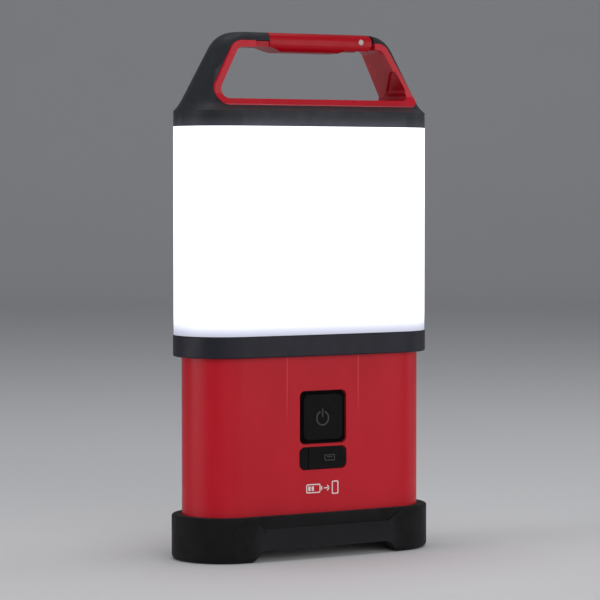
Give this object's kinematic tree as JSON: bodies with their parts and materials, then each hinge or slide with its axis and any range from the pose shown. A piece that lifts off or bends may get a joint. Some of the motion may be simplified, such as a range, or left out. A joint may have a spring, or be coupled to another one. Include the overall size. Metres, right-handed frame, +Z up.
{
  "type": "camping lantern",
  "caption": "Battery camping lantern: oval lit diffuser on a red body and arched rubber base, with a carabiner carrying handle.",
  "frame": {"origin": "centre of the footprint, on the surface that the base stands on", "axes": "+Z up, +X along the width, the front with the button faces -Y"},
  "size_m": [0.1604, 0.0606, 0.296],
  "materials": {
    "black_rubber": "matte moulded rubber",
    "cap_rubber": "satin rubberised overmould",
    "seal_rubber": "soft seal",
    "black_plastic": "satin moulded",
    "red_plastic": "satin moulded",
    "red_gloss": "semi-gloss moulded",
    "grey_plastic": "moulded",
    "white_plastic": "white reflector",
    "frosted_lens": "frosted, lit from inside",
    "cell_sleeve": "printed sleeve",
    "nickel": "nickel plated",
    "steel": "zinc plated",
    "aluminium": "as rolled",
    "board_green": "solder mask",
    "board_white": "white solder mask",
    "led_phosphor": "phosphor over a white package",
    "cable_jacket": "pvc"
  },
  "bodies": {
    "lantern": {"base_boot": "black_rubber", "body_shell": "red_plastic", "battery_cage": "grey_plastic", "battery_cell_1": "cell_sleeve", "battery_cell_2": "cell_sleeve", "battery_cell_3": "cell_sleeve", "battery_cell_4": "cell_sleeve", "roof_contacts": "nickel", "roof_springs": "nickel", "cage_screws": "steel", "button_frame": "black_rubber", "usb_cover_anchor": "black_rubber", "usb_socket": "nickel", "usb_board": "board_green", "control_board": "board_green", "board_screws": "steel", "tact_switch": "black_plastic", "board_parts": "black_plastic", "collar_ring": "black_plastic", "collar_gasket": "seal_rubber", "lens_seal_lower": "seal_rubber", "lens_seal_upper": "seal_rubber", "lens": "frosted_lens", "lower_reflector": "white_plastic", "upper_reflector": "white_plastic", "heat_sink": "aluminium", "collar_screws": "steel", "cap_screws": "steel", "led_board_front": "board_white", "led_board_rear": "board_white", "leds_front": "led_phosphor", "leds_rear": "led_phosphor", "led_cable": "cable_jacket", "battery_cable": "cable_jacket", "top_cap": "cap_rubber", "cap_plate": "black_plastic", "handle_liner": "red_gloss", "gate_spring": "steel"},
    "gate": {"gate": "red_gloss", "gate_pin": "steel"},
    "button": {"power_button": "black_rubber"},
    "port_cover": {"usb_cover": "black_rubber"},
    "door": {"battery_door": "black_plastic", "door_gasket": "seal_rubber", "door_contacts": "nickel", "door_springs": "nickel"},
    "coin_screw_left": {"door_screw_left": "steel"},
    "coin_screw_right": {"door_screw_right": "steel"}
  },
  "joints": [
    {"name": "gate_hinge", "type": "hinge", "parent": "lantern", "child": "gate", "pos_m": [0.0341, 0, 0.2917], "axis": [0, -1, 0], "range_deg": [0, 23], "stiffness_Nm_per_rad": 0.25, "springref_deg": -20.05, "deforming": ["gate_spring"]},
    {"name": "power_button_press", "type": "slide", "parent": "lantern", "child": "button", "axis": [0, 1, 0], "range_m": [0, 0.0012], "stiffness_N_per_m": 900, "springref_m": -0.001},
    {"name": "port_cover_hinge", "type": "hinge", "parent": "lantern", "child": "port_cover", "pos_m": [-0.01, -0.0251, 0.0562], "axis": [0, 0, -1], "range_deg": [0, 140], "stiffness_Nm_per_rad": 0.002},
    {"name": "battery_door_lift", "type": "slide", "parent": "lantern", "child": "door", "axis": [0, 0, -1], "range_m": [0, 0.07]},
    {"name": "coin_screw_left_turn", "type": "hinge", "parent": "door", "child": "coin_screw_left", "pos_m": [-0.0344, -0.0115, 0.0072], "axis": [0, 0, 1], "continuous": true},
    {"name": "coin_screw_right_turn", "type": "hinge", "parent": "door", "child": "coin_screw_right", "pos_m": [0.0344, -0.0115, 0.0072], "axis": [0, 0, 1], "continuous": true}
  ]
}
